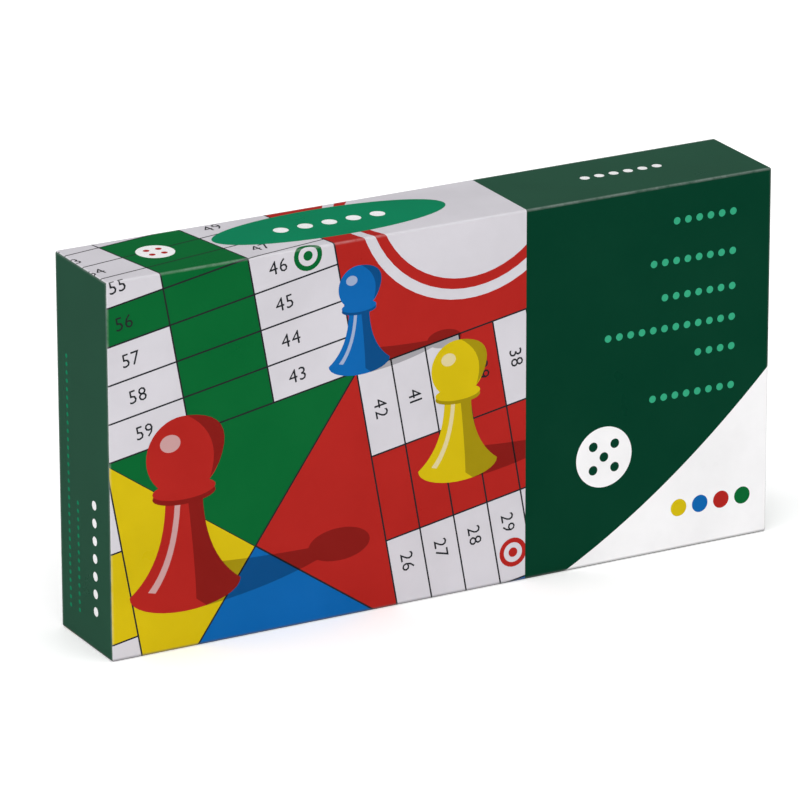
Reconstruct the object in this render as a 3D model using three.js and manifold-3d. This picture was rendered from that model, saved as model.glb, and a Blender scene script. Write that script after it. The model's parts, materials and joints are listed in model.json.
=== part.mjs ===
// Boxed travel set of parcheesi: a lid slides over a base tray that holds a folding magnetic board and a
// foam tray with sixteen magnetic discs and two dice. A rule leaflet lies inside the lid.
// Millimetres, +Z up. The closed box stands on a long narrow side and its printed front faces -Y.
// The origin is the centre of the side that it stands on.
import * as THREE from "three";
import { mergeVertices } from "three/addons/utils/BufferGeometryUtils.js";
import { RoundedBoxGeometry } from "three/addons/geometries/RoundedBoxGeometry.js";
import Module from "manifold-3d";

const wasm = await Module();
wasm.setup();

// Closed box
const BOX_LENGTH = 250;
const BOX_HEIGHT = 131;
const BOX_DEPTH = 37;
const LID_BOARD = 1.5;
const BASE_BOARD = 1.5;
const TELESCOPE_GAP = 0.5;

// Loose pieces lie this far off what they rest on
const SEAT_GAP = 0.3;

// Rule leaflet
const LEAFLET_LENGTH = 148;
const LEAFLET_HEIGHT = 105;
const LEAFLET_THICKNESS = 0.6;
const LEAFLET_GAP = 0.2;

// Playing discs and their magnets
const DISC_DIAMETER = 13;
const DISC_HEIGHT = 6.5;
const DISC_EDGE = 0.8;
const DISC_SIDES = 16;
const MAGNET_DIAMETER = 8;
const MAGNET_HEIGHT = 2;
const MAGNET_SIDES = 12;
const MAGNET_GAP = 0.15;

// Dice
const DIE_SIZE = 12;
const DIE_EDGE = 1.4;
const PIP_PITCH = 3;
const PIP_BALL = 1.1;
const PIP_DEPTH = 0.5;
const DIE_EDGE_STEPS = 2;
const PIP_SIDES = 8;
const PIP_RINGS = 6;

// Foam tray
const TRAY_GAP = 0.4;
const TRAY_RIM = 5;
const TRAY_FLOOR = 2.5;
const DISC_WELL_DEPTH = 2.5;
const WELL_GAP = 0.4;
const PIECE_ROOM = 0.7;
const COLUMNS = 6;
const ROWS = 4;

// Folding board
const BOARD_SIDE_GAP = 1.5;
const BOARD_CORNER = 6;
const BOARD_CORNER_STEPS = 4;
const PARTING_GAP = 0.4;
const SEAM_GAP = 0.4;
const FRAME_RIM = 2;
const SEAM_RIM = 1;
const FRAME_DECK = 1.6;
const FRAME_WALL = 2;
const RIB = 1.2;
const RIB_CELL = 21;
const STEEL_THICKNESS = 0.4;
const SHEET_THICKNESS = 0.4;
const SHEET_GAP = 0.15;
const SHEET_SETBACK = 0.2;

// Board hinges
const HINGE_INSET = 45;
const KNUCKLE_RADIUS = 2.4;
const KNUCKLE_WIDTH = 11;
const KNUCKLE_GAP = 0.4;
const KNUCKLE_SIDES = 16;
const PIN_RADIUS = 0.85;
const PIN_GAP = 0.1;
const PIN_SIDES = 12;
const HINGE_ROOM = 1.1;
const HINGE_WEB = 0.6;

// Box: faces and inner sizes
const backY = BOX_DEPTH / 2;
const lidFaceY = LID_BOARD - BOX_DEPTH / 2;
const lidInnerLength = BOX_LENGTH - 2 * LID_BOARD;
const lidInnerHeight = BOX_HEIGHT - 2 * LID_BOARD;
const baseLength = lidInnerLength - 2 * TELESCOPE_GAP;
const baseHeight = lidInnerHeight - 2 * TELESCOPE_GAP;
const baseInnerLength = baseLength - 2 * BASE_BOARD;
const baseInnerHeight = baseHeight - 2 * BASE_BOARD;
const baseFrontY = lidFaceY + LEAFLET_THICKNESS + 2 * LEAFLET_GAP;
const baseFloorY = backY - BASE_BOARD;
const baseInnerZ = LID_BOARD + TELESCOPE_GAP + BASE_BOARD;

// Foam tray: every piece stands as proud of the tray's deck as a disc does
const discProud = DISC_HEIGHT + SEAT_GAP - DISC_WELL_DEPTH;
const dieWellDepth = DIE_SIZE + SEAT_GAP - discProud;
const deckRecess = discProud + PIECE_ROOM;
const trayLength = baseInnerLength - 2 * TRAY_GAP;
const trayHeight = baseInnerHeight - 2 * TRAY_GAP;
const trayBackY = baseFloorY - SEAT_GAP;
const trayFrontY = trayBackY - TRAY_FLOOR - dieWellDepth - deckRecess;
const trayBottomZ = baseInnerZ + TRAY_GAP;
const deckY = trayFrontY + deckRecess;
const deckLength = trayLength - 2 * TRAY_RIM;
const deckHeight = trayHeight - 2 * TRAY_RIM;
const wellRadius = DISC_DIAMETER / 2 + WELL_GAP;
const columnX = (column) => ((column + 0.5) / COLUMNS - 0.5) * deckLength;
const rowZ = (row) => trayBottomZ + TRAY_RIM + ((row + 0.5) / ROWS) * deckHeight;
const discSeatY = deckY + DISC_WELL_DEPTH - SEAT_GAP;
const dieCentreY = deckY + dieWellDepth - SEAT_GAP - DIE_SIZE / 2;
const dieZ = trayBottomZ + trayHeight / 2;

// Folding board: two equal halves, with their hinge axis above the top edge, on the parting plane
const boardBackY = trayFrontY - SEAT_GAP;
const boardFrontY = baseFrontY + SEAT_GAP;
const partingY = (boardBackY + boardFrontY) / 2;
const frameThickness = (boardBackY - boardFrontY - PARTING_GAP) / 2;
const boardLength = baseInnerLength - 2 * BOARD_SIDE_GAP;
const topRoom = KNUCKLE_RADIUS + SEAM_GAP / 2 + HINGE_ROOM;
const halfHeight = baseInnerHeight - SEAT_GAP - topRoom;
const hingeZ = baseInnerZ + SEAT_GAP + halfHeight + SEAM_GAP / 2;
const sheetRecess = STEEL_THICKNESS + SHEET_THICKNESS + 2 * SHEET_GAP + SHEET_SETBACK;
const notchRadius = KNUCKLE_RADIUS + KNUCKLE_GAP;
const hingeWall = notchRadius - SEAM_GAP / 2 + HINGE_WEB;
const hingeX = boardLength / 2 - HINGE_INSET;
const hingeWidth = 3 * KNUCKLE_WIDTH + 2 * KNUCKLE_GAP;

// Finishes
const PRINTED_BOARD = { color: 0x083c28, roughness: 0.35 };
const WRAPPED_BOARD = { color: 0x0c422e, roughness: 0.6 };
const PAPER = { color: 0xe9e6df, roughness: 0.85 };
const FOAM = { color: 0x34373a, roughness: 0.95 };
const FRAME_PLASTIC = { color: 0x0f4a33, roughness: 0.45 };
const SHEET_STEEL = { color: 0xa9adb0, roughness: 0.4, metalness: 0.9 };
const PIN_STEEL = { color: 0xbec1c4, roughness: 0.35, metalness: 0.9 };
const PLAY_PRINT = { color: 0xd6d3d8, roughness: 0.35 };
const FERRITE = { color: 0x33343a, roughness: 0.6, metalness: 0.5 };
const DIE_PLASTIC = { color: 0xf2f0ea, roughness: 0.3 };
const DISC_PLASTICS = {
  yellow: { color: 0xd9c100, roughness: 0.3 },
  blue: { color: 0x164a90, roughness: 0.3 },
  red: { color: 0xa52d28, roughness: 0.3 },
  green: { color: 0x02835a, roughness: 0.3 },
};

function toManifold(geometry) {
  const bare = geometry.clone();
  bare.deleteAttribute("normal");
  bare.deleteAttribute("uv");
  const merged = mergeVertices(bare);
  const vertProperties = new Float32Array(merged.attributes.position.array);
  const triVerts = new Uint32Array(merged.index.array);
  return new wasm.Manifold(new wasm.Mesh({ numProp: 3, vertProperties, triVerts }));
}

function toGeometry(manifold) {
  const { vertProperties, triVerts } = manifold.getMesh();
  const geometry = new THREE.BufferGeometry();
  geometry.setAttribute("position", new THREE.BufferAttribute(vertProperties, 3));
  geometry.setIndex(new THREE.BufferAttribute(triVerts, 1));
  geometry.computeVertexNormals();
  return geometry;
}

function cutAll(geometry, tools) {
  return tools.reduce((solid, tool) => solid.subtract(toManifold(tool)), toManifold(geometry));
}

// A block from its lowest to its highest corner
function block([x0, y0, z0], [x1, y1, z1]) {
  const geometry = new THREE.BoxGeometry(x1 - x0, y1 - y0, z1 - z0);
  return geometry.translate((x0 + x1) / 2, (y0 + y1) / 2, (z0 + z1) / 2);
}

// A round bar along X, centred on the X axis
function roundBar(radius, length, x, sides) {
  return new THREE.CylinderGeometry(radius, radius, length, sides).rotateZ(Math.PI / 2).translate(x, 0, 0);
}

function piece(name, geometry, finish) {
  const mesh = new THREE.Mesh(geometry, new THREE.MeshStandardMaterial(finish));
  mesh.name = name;
  return mesh;
}

function makeLid() {
  const outer = block([-BOX_LENGTH / 2, -BOX_DEPTH / 2, 0], [BOX_LENGTH / 2, backY, BOX_HEIGHT]);
  const inside = block(
    [-lidInnerLength / 2, lidFaceY, LID_BOARD],
    [lidInnerLength / 2, backY + LID_BOARD, LID_BOARD + lidInnerHeight],
  );
  return piece("lid", toGeometry(cutAll(outer, [inside])), PRINTED_BOARD);
}

function makeBaseTray() {
  const bottomZ = LID_BOARD + TELESCOPE_GAP;
  const outer = block([-baseLength / 2, baseFrontY, bottomZ], [baseLength / 2, backY, bottomZ + baseHeight]);
  const inside = block(
    [-baseInnerLength / 2, baseFrontY - BASE_BOARD, baseInnerZ],
    [baseInnerLength / 2, baseFloorY, baseInnerZ + baseInnerHeight],
  );
  return piece("base_tray", toGeometry(cutAll(outer, [inside])), WRAPPED_BOARD);
}

function makeLeaflet() {
  const frontY = lidFaceY + LEAFLET_GAP;
  const bottomZ = LID_BOARD + SEAT_GAP;
  const sheet = block(
    [-LEAFLET_LENGTH / 2, frontY, bottomZ],
    [LEAFLET_LENGTH / 2, frontY + LEAFLET_THICKNESS, bottomZ + LEAFLET_HEIGHT],
  );
  return piece("rule_leaflet", sheet, PAPER);
}

// The discs fill the two columns at each end of the tray, and the dice lie in the two columns between
const DISC_COLUMNS = { yellow: 0, blue: 1, red: COLUMNS - 2, green: COLUMNS - 1 };
const DIE_COLUMNS = { left: COLUMNS / 2 - 1, right: COLUMNS / 2 };

function makePieceTray() {
  const topZ = trayBottomZ + trayHeight;
  const foam = block([-trayLength / 2, trayFrontY, trayBottomZ], [trayLength / 2, trayBackY, topZ]);
  const recess = block(
    [-deckLength / 2, trayFrontY - PIECE_ROOM, trayBottomZ + TRAY_RIM],
    [deckLength / 2, deckY, topZ - TRAY_RIM],
  );
  const wells = Object.values(DISC_COLUMNS).flatMap((column) =>
    Array.from({ length: ROWS }, (_, row) => {
      const well = new THREE.CylinderGeometry(wellRadius, wellRadius, 2 * DISC_WELL_DEPTH, DISC_SIDES);
      return well.translate(columnX(column), deckY, rowZ(row));
    }),
  );
  const dieHalf = DIE_SIZE / 2 + WELL_GAP;
  const dieWells = Object.values(DIE_COLUMNS).map((column) =>
    block(
      [columnX(column) - dieHalf, deckY - PIECE_ROOM, dieZ - dieHalf],
      [columnX(column) + dieHalf, deckY + dieWellDepth, dieZ + dieHalf],
    ),
  );
  return piece("piece_tray", toGeometry(cutAll(foam, [recess, ...wells, ...dieWells])), FOAM);
}

// A disc lies with its face to -Y, and its underside is at y = 0
function discGeometry() {
  const radius = DISC_DIAMETER / 2;
  const recessRadius = MAGNET_DIAMETER / 2 + MAGNET_GAP;
  const recessDepth = MAGNET_HEIGHT + 2 * MAGNET_GAP;
  const profile = new THREE.Path();
  profile.moveTo(0, recessDepth);
  profile.lineTo(recessRadius, recessDepth);
  profile.lineTo(recessRadius, 0);
  profile.lineTo(radius - DISC_EDGE, 0);
  profile.absarc(radius - DISC_EDGE, DISC_EDGE, DISC_EDGE, -Math.PI / 2, 0);
  profile.absarc(radius - DISC_EDGE, DISC_HEIGHT - DISC_EDGE, DISC_EDGE, 0, Math.PI / 2);
  profile.lineTo(0, DISC_HEIGHT);
  return new THREE.LatheGeometry(profile.getPoints(1), DISC_SIDES).rotateX(Math.PI);
}

function makeDisc(colour, row) {
  const group = new THREE.Group();
  const magnetRadius = MAGNET_DIAMETER / 2;
  const magnet = new THREE.CylinderGeometry(magnetRadius, magnetRadius, MAGNET_HEIGHT, MAGNET_SIDES);
  magnet.translate(0, -MAGNET_GAP - MAGNET_HEIGHT / 2, 0);
  group.add(piece(`disc_${colour}_${row + 1}`, discGeometry(), DISC_PLASTICS[colour]));
  group.add(piece(`magnet_${colour}_${row + 1}`, magnet, FERRITE));
  group.position.set(columnX(DISC_COLUMNS[colour]), discSeatY, rowZ(row));
  return group;
}

// Where the pips of each value lie on a face, in pitches
const CORNERS = [[-1, -1], [1, 1], [-1, 1], [1, -1]];
const PIPS = {
  1: [[0, 0]],
  2: CORNERS.slice(0, 2),
  3: [[0, 0], ...CORNERS.slice(0, 2)],
  4: CORNERS,
  5: [[0, 0], ...CORNERS],
  6: [...CORNERS, [-1, 0], [1, 0]],
};

// Opposite faces add up to seven
const DIE_FACES = { 5: "front", 2: "back", 1: "top", 6: "bottom", 3: "right", 4: "left" };
const FACE_TURNS = {
  top: [0, 0],
  front: [Math.PI / 2, 0],
  bottom: [Math.PI, 0],
  back: [-Math.PI / 2, 0],
  right: [0, Math.PI / 2],
  left: [0, -Math.PI / 2],
};

function dieGeometry() {
  const cube = new RoundedBoxGeometry(DIE_SIZE, DIE_SIZE, DIE_SIZE, DIE_EDGE_STEPS, DIE_EDGE);
  const pipHeight = DIE_SIZE / 2 + PIP_BALL - PIP_DEPTH;
  const pips = Object.entries(DIE_FACES).flatMap(([value, face]) =>
    PIPS[value].map(([u, v]) => {
      const pip = new THREE.SphereGeometry(PIP_BALL, PIP_SIDES, PIP_RINGS).rotateX(Math.PI / 2);
      const [turnX, turnY] = FACE_TURNS[face];
      return pip.translate(u * PIP_PITCH, v * PIP_PITCH, pipHeight).rotateX(turnX).rotateY(turnY);
    }),
  );
  return toGeometry(cutAll(cube, pips));
}

// The right die is turned so that another face looks out of its well
function makeDie(side, turnX) {
  const die = piece(`die_${side}`, dieGeometry(), DIE_PLASTIC);
  die.position.set(columnX(DIE_COLUMNS[side]), dieCentreY, dieZ);
  die.rotation.x = turnX;
  return die;
}

// A plate in the shape of a board half, inset from its outline, between two distances from the parting plane.
// The hinge axis is at the origin and the free corners are rounded.
function halfPlate(inset, hingeInset, nearY, farY) {
  const x = boardLength / 2 - inset;
  const top = -SEAM_GAP / 2 - hingeInset;
  const bottom = -SEAM_GAP / 2 - halfHeight + inset;
  const corner = BOARD_CORNER - inset;
  const outline = new THREE.Shape();
  outline.moveTo(x, top);
  outline.lineTo(-x, top);
  outline.lineTo(-x, bottom + corner);
  outline.absarc(corner - x, bottom + corner, corner, Math.PI, 1.5 * Math.PI);
  outline.absarc(x - corner, bottom + corner, corner, 1.5 * Math.PI, 2 * Math.PI);
  const plate = new THREE.ExtrudeGeometry(outline, {
    depth: farY - nearY,
    bevelEnabled: false,
    curveSegments: BOARD_CORNER_STEPS,
  });
  return plate.rotateX(Math.PI / 2).translate(0, farY, 0);
}

// The cells between the ribs of a half's underside, as even as the walls leave room for
function ribCells(nearY, farY) {
  const length = boardLength - 2 * FRAME_WALL;
  const height = halfHeight - FRAME_WALL - hingeWall;
  const across = Math.ceil((length + RIB) / (RIB_CELL + RIB));
  const down = Math.ceil((height + RIB) / (RIB_CELL + RIB));
  const cellLength = (length + RIB) / across - RIB;
  const cellHeight = (height + RIB) / down - RIB;
  const top = -SEAM_GAP / 2 - hingeWall;
  const cells = [];
  for (let i = 0; i < across; i += 1) {
    for (let j = 0; j < down; j += 1) {
      const x = -length / 2 + i * (cellLength + RIB);
      const z = top - (j + 1) * cellHeight - j * RIB;
      cells.push(block([x, nearY, z], [x + cellLength, farY, z + cellHeight]));
    }
  }
  return cells;
}

// A half of the board, with its underside on the parting plane and its play sheet facing +Y.
// Each knuckle is given by its place along the hinge, in knuckle widths from the hinge's middle.
function makeBoardHalf(side, ownKnuckles, otherKnuckles) {
  const nearY = PARTING_GAP / 2;
  const farY = nearY + frameThickness;
  const recessY = farY - sheetRecess;
  const ribsY = recessY - FRAME_DECK;
  const hinges = [-hingeX, hingeX];
  const knuckleX = (hinge, place) => hinge + place * (KNUCKLE_WIDTH + KNUCKLE_GAP);
  const knuckles = hinges.flatMap((hinge) =>
    ownKnuckles.map((place) =>
      roundBar(KNUCKLE_RADIUS, KNUCKLE_WIDTH, knuckleX(hinge, place), KNUCKLE_SIDES),
    ),
  );
  const notches = hinges.flatMap((hinge) =>
    otherKnuckles.map((place) =>
      roundBar(notchRadius, KNUCKLE_WIDTH + 2 * KNUCKLE_GAP, knuckleX(hinge, place), KNUCKLE_SIDES),
    ),
  );
  const bores = hinges.map((hinge) =>
    roundBar(PIN_RADIUS + PIN_GAP, hingeWidth + 2 * KNUCKLE_GAP, hinge, KNUCKLE_SIDES),
  );

  const recess = halfPlate(FRAME_RIM, SEAM_RIM, recessY, farY + SHEET_SETBACK);
  const cells = ribCells(nearY - PARTING_GAP, ribsY);
  const body = cutAll(halfPlate(0, 0, nearY, farY), [recess, ...cells, ...notches]);
  const knuckled = knuckles.reduce((solid, knuckle) => solid.add(toManifold(knuckle)), body);
  const frame = bores.reduce((solid, bore) => solid.subtract(toManifold(bore)), knuckled);

  const steelY = recessY + SHEET_GAP;
  const sheetY = steelY + STEEL_THICKNESS + SHEET_GAP;
  const rim = FRAME_RIM + SHEET_GAP;
  const seamRim = SEAM_RIM + SHEET_GAP;
  const steel = halfPlate(rim, seamRim, steelY, steelY + STEEL_THICKNESS);
  const sheet = halfPlate(rim, seamRim, sheetY, sheetY + SHEET_THICKNESS);

  const group = new THREE.Group();
  group.add(piece(`board_frame_${side}`, toGeometry(frame), FRAME_PLASTIC));
  group.add(piece(`steel_sheet_${side}`, steel, SHEET_STEEL));
  group.add(piece(`play_sheet_${side}`, sheet, PLAY_PRINT));
  group.position.set(0, partingY, hingeZ);
  return group;
}

function makeBoard() {
  const outer = [-1, 1];
  const middle = [0];
  const back = makeBoardHalf("back", outer, middle);
  back.add(piece("hinge_pin_left", roundBar(PIN_RADIUS, hingeWidth, -hingeX, PIN_SIDES), PIN_STEEL));
  back.add(piece("hinge_pin_right", roundBar(PIN_RADIUS, hingeWidth, hingeX, PIN_SIDES), PIN_STEEL));
  const front = makeBoardHalf("front", middle, outer);
  front.rotation.z = Math.PI;
  return [back, front];
}

const set = new THREE.Group();
set.add(makeLid(), makeBaseTray(), makeLeaflet(), makePieceTray(), ...makeBoard());
for (const colour of Object.keys(DISC_COLUMNS)) {
  for (let row = 0; row < ROWS; row += 1) {
    set.add(makeDisc(colour, row));
  }
}
set.add(makeDie("left", 0), makeDie("right", Math.PI / 2));

export default set;
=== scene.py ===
"""Looks of the boxed parcheesi set.

The frame is in metres: +X to the right of the printed front, the front faces -Y, +Z is up.
Prints are laid out in millimetres on flat panels, and cut into the panels' meshes,
so that each colour of a print is geometry.
"""
import json
from math import cos, pi, radians, sin, tan

import bmesh
import bpy
import numpy as np
from mathutils import Matrix, Vector
from mathutils.geometry import delaunay_2d_cdt


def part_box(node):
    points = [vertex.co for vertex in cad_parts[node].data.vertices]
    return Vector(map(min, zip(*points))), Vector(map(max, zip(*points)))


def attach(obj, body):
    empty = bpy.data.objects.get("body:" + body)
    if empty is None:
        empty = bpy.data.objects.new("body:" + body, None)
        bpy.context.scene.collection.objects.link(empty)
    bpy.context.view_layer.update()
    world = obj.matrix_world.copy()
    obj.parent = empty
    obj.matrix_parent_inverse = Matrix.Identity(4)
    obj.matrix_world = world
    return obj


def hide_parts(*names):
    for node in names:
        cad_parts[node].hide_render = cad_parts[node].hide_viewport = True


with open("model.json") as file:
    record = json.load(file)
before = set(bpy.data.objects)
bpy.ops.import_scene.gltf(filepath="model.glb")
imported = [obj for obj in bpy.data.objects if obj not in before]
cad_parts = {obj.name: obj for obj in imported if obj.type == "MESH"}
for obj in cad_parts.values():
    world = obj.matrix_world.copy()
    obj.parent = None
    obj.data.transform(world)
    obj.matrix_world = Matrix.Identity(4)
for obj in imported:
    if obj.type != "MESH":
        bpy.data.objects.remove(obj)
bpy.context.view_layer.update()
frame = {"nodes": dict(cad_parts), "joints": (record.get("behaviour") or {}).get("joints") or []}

MM = 0.001
X, Y, Z = Vector((1, 0, 0)), Vector((0, 1, 0)), Vector((0, 0, 1))
GAME_COLOURS = ("yellow", "blue", "red", "green")
DISCS = [f"{colour}_{row}" for colour in GAME_COLOURS for row in range(1, 5)]

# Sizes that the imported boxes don't give, in millimetres
LID_BOARD = 1.5
BASE_BOARD = 1.5
FOLD_RADIUS = 0.8
TURN_IN = 14
TRAY_RIM = 5
TRAY_FILLET = 0.6
DECK_RECESS = 5
DISC_WELL_DEPTH = 2.5
DIE_WELL_DEPTH = 8
WELL_GAP = 0.4
MAGNET_RECESS_RADIUS = 4.15
MAGNET_RECESS_DEPTH = 2.3
DISC_EDGE = 0.9
DIE_EDGE = 1.6
PIP_PITCH = 3
PIP_BALL = 1.2
PIP_DEPTH = 0.55
PIP_MARGIN = 0.02


def box_mm(node):
    """A node's lowest and highest corners, in millimetres."""
    low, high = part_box(node)
    return low / MM, high / MM


LID_LOW, LID_HIGH = box_mm("lid")


# Colours

def srgb(*levels):
    """A linear colour from its levels of red, green and blue in sRGB, of 0 to 255."""
    shares = [level / 255 for level in levels]
    return (*(s / 12.92 if s <= 0.04045 else ((s + 0.055) / 1.055) ** 2.4 for s in shares), 1)


def shade(colour, factor, lift=0):
    """A colour made darker or lighter by a factor, and lifted towards white."""
    return tuple(channel * factor + lift for channel in colour[:3]) + (1,)


# The factor and the lift of an ink's dark and light tones
DARK_TONE, LIGHT_TONE = (0.55, 0), (0.6, 0.3)
INK_COLOURS = {
    "deep_green": srgb(0, 58, 38),
    # Painted light and sheen: the deep green made lighter and greyer for the lid's ends, wrap and
    # plain top panel
    "side_green": srgb(37, 77, 59),
    "track": srgb(203, 200, 206),
    "white": srgb(236, 235, 236),
    "yellow": srgb(202, 177, 0),
    "green": srgb(0, 98, 45),
    "red": srgb(170, 31, 25),
    "blue": srgb(0, 95, 166),
    "black": srgb(34, 36, 40),
    "mint": srgb(47, 160, 120),
    "emerald": srgb(0, 125, 85),
}
INK_COLOURS |= {ink + "_dark": shade(colour, *DARK_TONE) for ink, colour in INK_COLOURS.items()}
INK_COLOURS |= {ink + "_light": shade(INK_COLOURS[ink], *LIGHT_TONE) for ink in GAME_COLOURS}
PLASTIC_COLOURS = {
    "yellow": srgb(222, 190, 10),
    "blue": srgb(20, 74, 150),
    "red": srgb(168, 40, 36),
    "green": srgb(2, 128, 86),
}


# Materials

# Where a Mix node has its sockets for colours
MIX_SHARE, MIX_FIRST, MIX_SECOND, MIX_RESULT = 0, 6, 7, 2

# Limits that most of a noise's values lie between
NARROW, WIDE = (0.35, 0.65), (0.3, 0.7)


class Nodes:
    """The nodes of a material or a world."""

    def __init__(self, tree):
        self.tree = tree

    def fill(self, node, inputs):
        """Links each input that is given a socket, and sets any other."""
        for name, value in inputs.items():
            if isinstance(value, bpy.types.NodeSocket):
                self.tree.links.new(value, node.inputs[name])
            else:
                node.inputs[name].default_value = value

    def add(self, kind, inputs=None, **settings):
        """The outputs of a new node."""
        node = self.tree.nodes.new("ShaderNode" + kind)
        for name, value in settings.items():
            setattr(node, name, value)
        self.fill(node, inputs or {})
        return node.outputs

    def calc(self, operation, first, second):
        """The result of one sum on two sockets or numbers."""
        return self.add("Math", {0: first, 1: second}, operation=operation)[0]

    def spread(self, value, span, to):
        """A value between two limits, mapped to between two others."""
        return self.add("MapRange", dict(enumerate((value, *span, *to))))["Result"]

    def mix(self, share, first, second):
        """A colour between two others, at a share of 0 to 1 of the way."""
        inputs = {MIX_SHARE: share, MIX_FIRST: first, MIX_SECOND: second}
        return self.add("Mix", inputs, data_type="RGBA")[MIX_RESULT]


class Look(Nodes):
    """A material in the making. Its place is that of a point on the object, in metres."""

    def __init__(self, name):
        self.material = bpy.data.materials.new(name)
        self.material.use_nodes = True
        super().__init__(self.material.node_tree)
        self.shader = self.tree.nodes["Principled BSDF"]
        self.place = self.add("TexCoord")["Object"]

    def noise(self, scale, detail=3, rough=0.55):
        inputs = {"Vector": self.place, "Scale": scale, "Detail": detail, "Roughness": rough}
        return self.add("TexNoise", inputs)["Fac"]

    def tone(self, value, span, colour, dark, light):
        """A colour between two of its shades, by where a value lies between two limits."""
        return self.mix(self.spread(value, span, to=(0, 1)), shade(colour, dark), shade(colour, light))

    def finish(self, colour, roughness, height, depth, strength, more=None):
        """The finished material, raised by a height of 0 to 1 times a depth in millimetres."""
        bump = self.add("Bump", {"Height": height, "Distance": depth * MM, "Strength": strength})
        inputs = {"Base Color": colour, "Roughness": roughness, "Normal": bump["Normal"]}
        self.fill(self.shader, inputs | (more or {}))
        return self.material


def edge_distance(look, axes, low, high):
    """How far a point of a box's surface is from the box's nearest edge, in metres.

    That is the middle one of its distances from the faces across X, Y and Z.
    """
    to_faces = []
    for axis, lowest, highest in zip(axes, low, high):
        from_low = look.calc("SUBTRACT", axis, lowest * MM)
        from_high = look.calc("SUBTRACT", highest * MM, axis)
        to_faces.append(look.calc("MINIMUM", from_low, from_high))
    x, y, z = to_faces
    farther = look.calc("MAXIMUM", x, y)
    return look.calc("MAXIMUM", look.calc("MINIMUM", x, y), look.calc("MINIMUM", farther, z))


# Wear of a box: how far from the edges it is full and where it ends, in metres, and how strong it is
RUB_SPAN, RUB_SHARE = (0.2 * MM, 0.95 * MM), 0.55
RUB_ROUGHNESS = 0.2
# Painted contact shadow along the edges that a box stands on: where it is full and where it ends, in
# metres, how strong it is, and its colour
CONTACT_SHADOW_SPAN, CONTACT_SHADOW_SHARE = (0.2 * MM, 1.2 * MM), 0.75
CONTACT_SHADOW_COLOUR = srgb(70, 70, 68)


def box_ink(node, name):
    """Ink on the coated paper of a box under a matt film.

    It is rubbed lighter in a broken line along the edges, and darkened along those that the box stands
    on by a painted contact shadow.
    """
    look = Look(f"{node}_{name}")
    colour = INK_COLOURS[name]
    mottle = look.noise(38, detail=4)
    fibre = look.noise(2600, detail=2)
    axes = look.add("SeparateXYZ", {"Vector": look.place})
    to_edge = edge_distance(look, axes, *box_mm(node))
    line = look.spread(to_edge, RUB_SPAN, to=(RUB_SHARE, 0))
    broken = look.spread(look.noise(210, detail=4, rough=0.7), (0.34, 0.62), to=(0.35, 1))
    wear = look.calc("MULTIPLY", line, broken)
    toned = look.tone(mottle, NARROW, colour, dark=0.955, light=1.03)
    rubbed = look.mix(wear, toned, shade(colour, 0.62, lift=0.26))
    # Painted contact shadow: darker towards the bottom edges, where the box stands on the floor
    to_low_edge = look.calc("MAXIMUM", to_edge, axes["Z"])
    contact_shadow = look.spread(to_low_edge, CONTACT_SHADOW_SPAN, to=(CONTACT_SHADOW_SHARE, 0))
    contact_shadowed = look.mix(contact_shadow, rubbed, CONTACT_SHADOW_COLOUR)
    satin = look.spread(mottle, WIDE, to=(0.27, 0.34))
    dulled = look.calc("ADD", satin, look.calc("MULTIPLY", wear, RUB_ROUGHNESS))
    return look.finish(contact_shadowed, dulled, fibre, 0.02, 0.35, {"Specular IOR Level": 0.1})


def board_ink(name):
    """Ink under the matt film of the playing surface, with the film's fine grain."""
    look = Look("board_" + name)
    mottle = look.noise(60, detail=4)
    grain = look.noise(3400, detail=1)
    toned = look.tone(mottle, NARROW, INK_COLOURS[name], dark=0.97, light=1.02)
    satin = look.spread(mottle, WIDE, to=(0.38, 0.46))
    return look.finish(toned, satin, grain, 0.02, 0.5)


def paper(name, colour, flecks):
    """Uncoated paper with soft clouding, fibres and a few flecks."""
    look = Look(name)
    cloud = look.noise(90, detail=5, rough=0.65)
    fibre = look.noise(1500)
    toned = look.tone(cloud, WIDE, colour, dark=0.93, light=1.04)
    fleck = look.spread(look.noise(620, detail=2), (0.66, 0.74), to=(0, flecks))
    flecked = look.mix(fleck, toned, shade(colour, 0.6))
    dull = look.spread(cloud, WIDE, to=(0.79, 0.9))
    return look.finish(flecked, dull, fibre, 0.05, 0.6)


def plastic(name, colour, roughness, scale, depth):
    """Moulded plastic: a slight change of tone and the fine texture of its mould."""
    look = Look(name)
    grain = look.noise(scale, detail=2)
    toned = look.tone(look.noise(55), NARROW, colour, dark=0.92, light=1.06)
    gloss = look.spread(grain, WIDE, to=(roughness - 0.05, roughness + 0.06))
    return look.finish(toned, gloss, grain, depth, 0.5)


def foam(name, colour):
    """Closed-cell foam: small open cells on its cut faces, darkened in their middles as painted shade
    in the pits.
    """
    look = Look(name)
    cells = look.add("TexVoronoi", {"Vector": look.place, "Scale": 1300})["Distance"]
    cloud = look.noise(120, detail=4)
    toned = look.tone(cloud, WIDE, colour, dark=0.85, light=1.15)
    # Painted shade: darker in the middle of each cell, where a pit is
    pit_shaded = look.mix(look.spread(cells, (0, 0.35), to=(0.5, 0)), toned, shade(colour, 0.45))
    dull = look.spread(cloud, WIDE, to=(0.88, 0.98))
    return look.finish(pit_shaded, dull, cells, 0.15, 0.7)


def metal(name, colour, roughness, stretch):
    """Bare metal with drawn or rolled lines, which run along the axis that stretch keeps small."""
    look = Look(name)
    look.place = look.add("Mapping", {"Vector": look.place, "Scale": stretch})["Vector"]
    lines = look.noise(900)
    toned = look.tone(lines, WIDE, colour, dark=0.8, light=1.1)
    gloss = look.spread(lines, WIDE, to=(roughness - 0.08, roughness + 0.1))
    return look.finish(toned, gloss, lines, 0.01, 0.4, {"Metallic": 1})


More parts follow.
